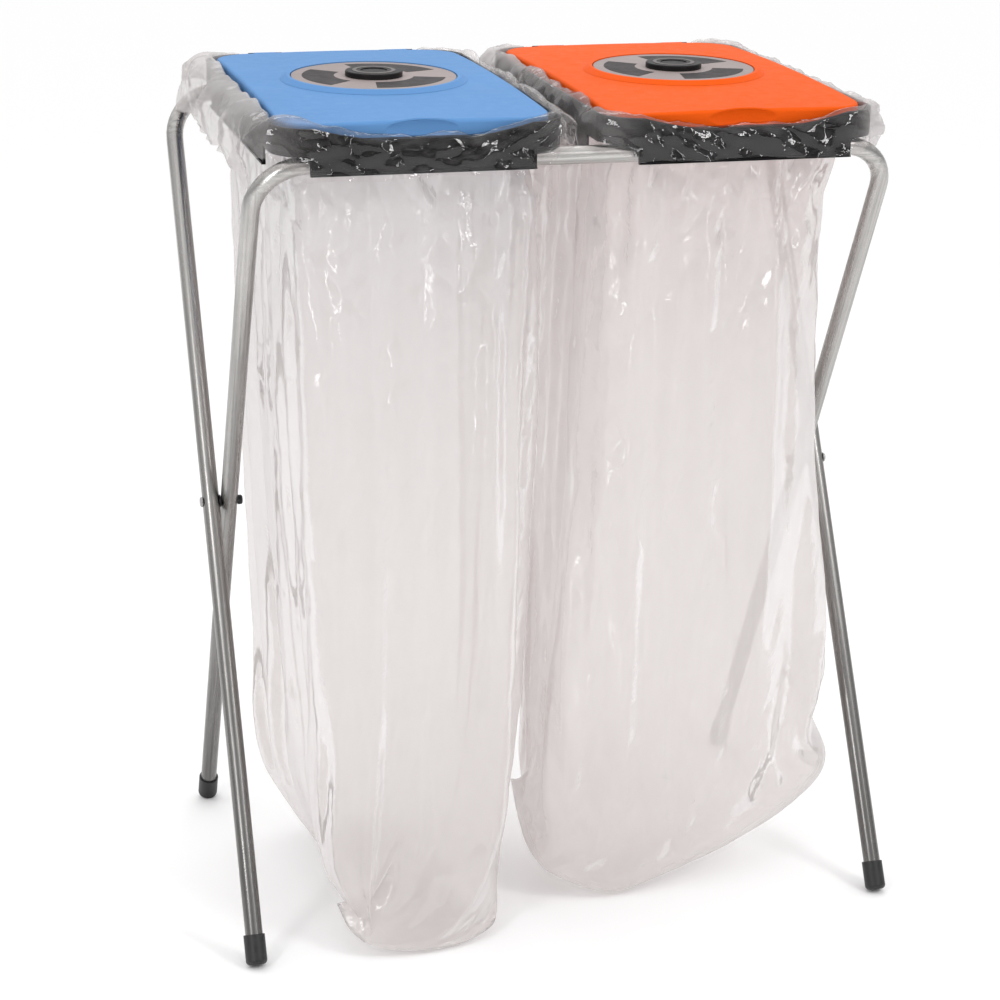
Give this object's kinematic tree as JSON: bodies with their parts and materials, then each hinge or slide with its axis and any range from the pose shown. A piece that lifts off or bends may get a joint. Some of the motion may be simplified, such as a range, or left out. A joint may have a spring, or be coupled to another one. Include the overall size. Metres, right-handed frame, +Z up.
{
  "type": "double waste sack stand",
  "caption": "Folding tube stand holding two open waste sacks side by side under hinged rectangular lids, each with a round lift-out hatch.",
  "frame": {"origin": "on the floor under the middle of the stand", "axes": "+Z up, +X to the right seen from the front, -Y the front where the thumb recesses of the lids are"},
  "size_m": [0.8654, 0.58, 1.0784],
  "materials": {
    "zinc_tube": "satin zinc-plated steel tube with lengthwise draw marks",
    "foot_rubber": "matte black rubber",
    "pivot_steel": "plain zinc-plated steel",
    "pivot_plastic": "matte black nylon",
    "rim_plastic": "black moulded plastic, slightly satin",
    "lid_blue": "fine-grained blue moulded plastic",
    "lid_orange": "fine-grained orange moulded plastic",
    "hatch_grey": "satin taupe grey plastic",
    "vane_dark": "dark grey plastic inlay",
    "knob_black": "black plastic knob",
    "seal_rubber": "soft black gasket",
    "sack_film": "thin clear polyethylene film with crinkles"
  },
  "bodies": {
    "rear_frame": {"rear_frame_tube": "zinc_tube", "foot_cap_front_left": "foot_rubber", "foot_cap_front_right": "foot_rubber", "pivot_bolt_left": "pivot_steel", "pivot_bolt_right": "pivot_steel", "pivot_nut_left": "pivot_plastic", "pivot_nut_right": "pivot_plastic", "pivot_spacer_left": "pivot_plastic", "pivot_spacer_right": "pivot_plastic"},
    "front_frame": {"front_frame_tube": "zinc_tube", "foot_cap_back_left": "foot_rubber", "foot_cap_back_right": "foot_rubber"},
    "rim_left": {"rim_left": "rim_plastic", "bar_clip_left_a": "rim_plastic", "bar_clip_left_b": "rim_plastic", "clip_screws_left": "pivot_steel", "rest_pads_left": "foot_rubber", "lid_pins_left": "pivot_steel", "sack_left": "sack_film"},
    "rim_right": {"rim_right": "rim_plastic", "bar_clip_right_a": "rim_plastic", "bar_clip_right_b": "rim_plastic", "clip_screws_right": "pivot_steel", "rest_pads_right": "foot_rubber", "lid_pins_right": "pivot_steel", "sack_right": "sack_film"},
    "lid_left": {"lid_left": "lid_blue"},
    "lid_right": {"lid_right": "lid_orange"},
    "hatch_left": {"hatch_left": "hatch_grey", "hatch_vanes_left": "vane_dark", "hatch_seal_left": "seal_rubber", "knob_left": "knob_black", "knob_ring_left": "hatch_grey", "knob_screw_left": "pivot_steel"},
    "hatch_right": {"hatch_right": "hatch_grey", "hatch_vanes_right": "vane_dark", "hatch_seal_right": "seal_rubber", "knob_right": "knob_black", "knob_ring_right": "hatch_grey", "knob_screw_right": "pivot_steel"}
  },
  "joints": [
    {"name": "frame_fold", "type": "hinge", "parent": "rear_frame", "child": "front_frame", "pos_m": [0, -0.00335, 0.53018], "axis": [-1, 0, 0], "range_deg": [0, 50]},
    {"name": "rim_swing_left", "type": "hinge", "parent": "rear_frame", "child": "rim_left", "pos_m": [-0.198, 0.24944, 1.02355], "axis": [-1, 0, 0], "range_deg": [0, 110.5], "deforming": ["sack_left"]},
    {"name": "rim_swing_right", "type": "hinge", "parent": "rear_frame", "child": "rim_right", "pos_m": [0.198, 0.24944, 1.02355], "axis": [-1, 0, 0], "range_deg": [0, 110.5], "deforming": ["sack_right"]},
    {"name": "lid_hinge_left", "type": "hinge", "parent": "rim_left", "child": "lid_left", "pos_m": [-0.198, 0.2619, 1.06719], "axis": [-1, 0, 0], "range_deg": [0, 100]},
    {"name": "lid_hinge_right", "type": "hinge", "parent": "rim_right", "child": "lid_right", "pos_m": [0.198, 0.2619, 1.06719], "axis": [-1, 0, 0], "range_deg": [0, 100]},
    {"name": "hatch_lift_left", "type": "slide", "parent": "lid_left", "child": "hatch_left", "axis": [0, -0.0471, 0.9989], "range_m": [0, 0.06]},
    {"name": "hatch_lift_right", "type": "slide", "parent": "lid_right", "child": "hatch_right", "axis": [0, -0.0471, 0.9989], "range_m": [0, 0.06]}
  ],
  "couplings": [
    {"joint": "rim_swing_left", "follows": "frame_fold", "ratio": 2.2},
    {"joint": "rim_swing_right", "follows": "frame_fold", "ratio": 2.2}
  ]
}
